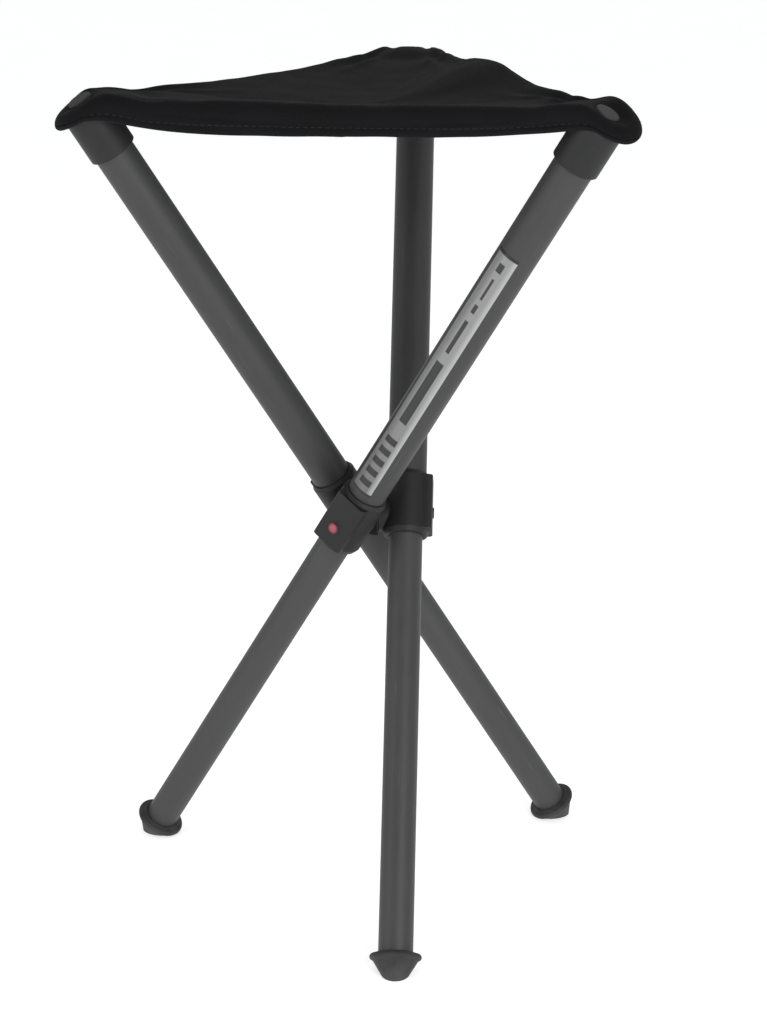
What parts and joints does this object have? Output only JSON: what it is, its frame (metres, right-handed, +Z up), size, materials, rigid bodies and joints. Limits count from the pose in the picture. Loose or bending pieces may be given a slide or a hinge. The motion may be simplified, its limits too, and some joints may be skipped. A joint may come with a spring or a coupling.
{
  "type": "folding three leg stool",
  "caption": "Folding tripod stool with crossed telescopic tube legs on a hub and a triangular fabric seat.",
  "frame": {"origin": "on the floor, under the middle of the stool's bounding box", "axes": "+Z up, and leg C leans along Y, with its foot towards -Y and its top towards +Y"},
  "size_m": [0.3204, 0.3416, 0.4981],
  "materials": {
    "tube_upper": "dark grey anodised aluminium tube with a fine satin sheen",
    "tube_lower": "dark grey anodised aluminium tube, lightly rubbed where it slides",
    "cap_plastic": "black moulded nylon with a fine spark texture",
    "hub_plastic": "black moulded glass filled nylon",
    "button_red": "red moulded push button",
    "rubber": "black rubber foot",
    "pin_steel": "plain turned steel",
    "spring_steel": "bent spring steel strip",
    "bush_plastic": "black acetal guide bush",
    "rivet": "dark grey domed rivet",
    "seat_fabric": "black woven polyester seat fabric",
    "label_film": "silver grey printed film with plain bars"
  },
  "bodies": {
    "hub": {"hub": "hub_plastic", "hub_pin_a": "pin_steel", "hub_pin_b": "pin_steel", "hub_pin_c": "pin_steel"},
    "leg_a": {"upper_tube_a": "tube_upper", "joint_collar_a": "hub_plastic", "top_cap_a": "cap_plastic", "seat_rivet_a": "rivet", "seat_pocket_a": "seat_fabric", "size_label": "label_film"},
    "lower_a": {"lower_tube_a": "tube_lower", "guide_bush_a": "bush_plastic", "foot_a": "rubber", "snap_spring_a": "spring_steel"},
    "button_a": {"release_button_a": "button_red"},
    "seat_a_left": {"seat_panel_a_left": "seat_fabric"},
    "seat_a_right": {"seat_panel_a_right": "seat_fabric"},
    "leg_b": {"upper_tube_b": "tube_upper", "joint_collar_b": "hub_plastic", "top_cap_b": "cap_plastic", "seat_rivet_b": "rivet", "seat_pocket_b": "seat_fabric"},
    "lower_b": {"lower_tube_b": "tube_lower", "guide_bush_b": "bush_plastic", "foot_b": "rubber", "snap_spring_b": "spring_steel"},
    "button_b": {"release_button_b": "button_red"},
    "seat_b_left": {"seat_panel_b_left": "seat_fabric"},
    "seat_b_right": {"seat_panel_b_right": "seat_fabric"},
    "leg_c": {"upper_tube_c": "tube_upper", "joint_collar_c": "hub_plastic", "top_cap_c": "cap_plastic", "seat_rivet_c": "rivet", "seat_pocket_c": "seat_fabric"},
    "lower_c": {"lower_tube_c": "tube_lower", "guide_bush_c": "bush_plastic", "foot_c": "rubber", "snap_spring_c": "spring_steel"},
    "button_c": {"release_button_c": "button_red"},
    "seat_c_left": {"seat_panel_c_left": "seat_fabric"},
    "seat_c_right": {"seat_panel_c_right": "seat_fabric"}
  },
  "joints": [
    {"name": "fold_c", "type": "hinge", "parent": "hub", "child": "leg_c", "pos_m": [0.03435, -0.01094, 0.23277], "axis": [1, 0, 0], "range_deg": [0, 33.3], "deforming": ["seat_panel_a_left", "seat_panel_a_right", "seat_panel_b_left", "seat_panel_b_right", "seat_panel_c_left", "seat_panel_c_right"]},
    {"name": "fold_a", "type": "hinge", "parent": "hub", "child": "leg_a", "pos_m": [0, -0.03078, 0.23277], "axis": [-0.5, -0.866, 0], "range_deg": [0, 33.3]},
    {"name": "fold_b", "type": "hinge", "parent": "hub", "child": "leg_b", "pos_m": [0, 0.00889, 0.23277], "axis": [-0.5, 0.866, 0], "range_deg": [0, 33.3]},
    {"name": "slide_a", "type": "slide", "parent": "leg_a", "child": "lower_a", "axis": [0.4755, -0.2745, 0.8358], "range_m": [0, 0.225], "deforming": ["snap_spring_a"]},
    {"name": "slide_b", "type": "slide", "parent": "leg_b", "child": "lower_b", "axis": [-0.4755, -0.2745, 0.8358], "range_m": [0, 0.225], "deforming": ["snap_spring_b"]},
    {"name": "slide_c", "type": "slide", "parent": "leg_c", "child": "lower_c", "axis": [0, 0.549, 0.8358], "range_m": [0, 0.225], "deforming": ["snap_spring_c"]},
    {"name": "press_a", "type": "slide", "parent": "leg_a", "child": "button_a", "axis": [0.5, 0.866, 0], "range_m": [0, 0.0016], "deforming": ["snap_spring_a"]},
    {"name": "press_b", "type": "slide", "parent": "leg_b", "child": "button_b", "axis": [0.5, -0.866, 0], "range_m": [0, 0.0016], "deforming": ["snap_spring_b"]},
    {"name": "press_c", "type": "slide", "parent": "leg_c", "child": "button_c", "axis": [-1, 0, 0], "range_m": [0, 0.0016], "deforming": ["snap_spring_c"]},
    {"name": "seat_fold_a_left", "type": "hinge", "parent": "leg_a", "child": "seat_a_left", "pos_m": [0.12828, -0.10484, 0.49561], "axis": [-0.7766, 0.2715, -0.5686], "range_deg": [0, 119.81], "deforming": ["seat_panel_a_left"]},
    {"name": "seat_fold_a_right", "type": "hinge", "parent": "leg_a", "child": "seat_a_right", "pos_m": [0.12828, -0.10484, 0.49561], "axis": [-0.8662, -0.2063, -0.4551], "range_deg": [0, 73.93], "deforming": ["seat_panel_a_right"]},
    {"name": "seat_fold_b_left", "type": "hinge", "parent": "leg_b", "child": "seat_b_left", "pos_m": [-0.12828, -0.06517, 0.49561], "axis": [0.6234, 0.5368, -0.5686], "range_deg": [0, 119.81], "deforming": ["seat_panel_b_left"]},
    {"name": "seat_fold_b_right", "type": "hinge", "parent": "leg_b", "child": "seat_b_right", "pos_m": [-0.12828, -0.06517, 0.49561], "axis": [0.2544, 0.8533, -0.4551], "range_deg": [0, 73.93], "deforming": ["seat_panel_b_right"]},
    {"name": "seat_fold_c_left", "type": "hinge", "parent": "leg_c", "child": "seat_c_left", "pos_m": [0.03435, 0.13718, 0.49561], "axis": [0.1532, -0.8083, -0.5686], "range_deg": [0, 119.81], "deforming": ["seat_panel_c_left"]},
    {"name": "seat_fold_c_right", "type": "hinge", "parent": "leg_c", "child": "seat_c_right", "pos_m": [0.03435, 0.13718, 0.49561], "axis": [0.6118, -0.647, -0.4551], "range_deg": [0, 73.93], "deforming": ["seat_panel_c_right"]}
  ],
  "couplings": [
    {"joint": "fold_a", "follows": "fold_c", "ratio": 1},
    {"joint": "fold_b", "follows": "fold_c", "ratio": 1},
    {"joint": "seat_fold_a_left", "follows": "fold_c", "ratio": 3.5977},
    {"joint": "seat_fold_a_right", "follows": "fold_c", "ratio": 2.2199},
    {"joint": "seat_fold_b_left", "follows": "fold_c", "ratio": 3.5977},
    {"joint": "seat_fold_b_right", "follows": "fold_c", "ratio": 2.2199},
    {"joint": "seat_fold_c_left", "follows": "fold_c", "ratio": 3.5977},
    {"joint": "seat_fold_c_right", "follows": "fold_c", "ratio": 2.2199}
  ]
}
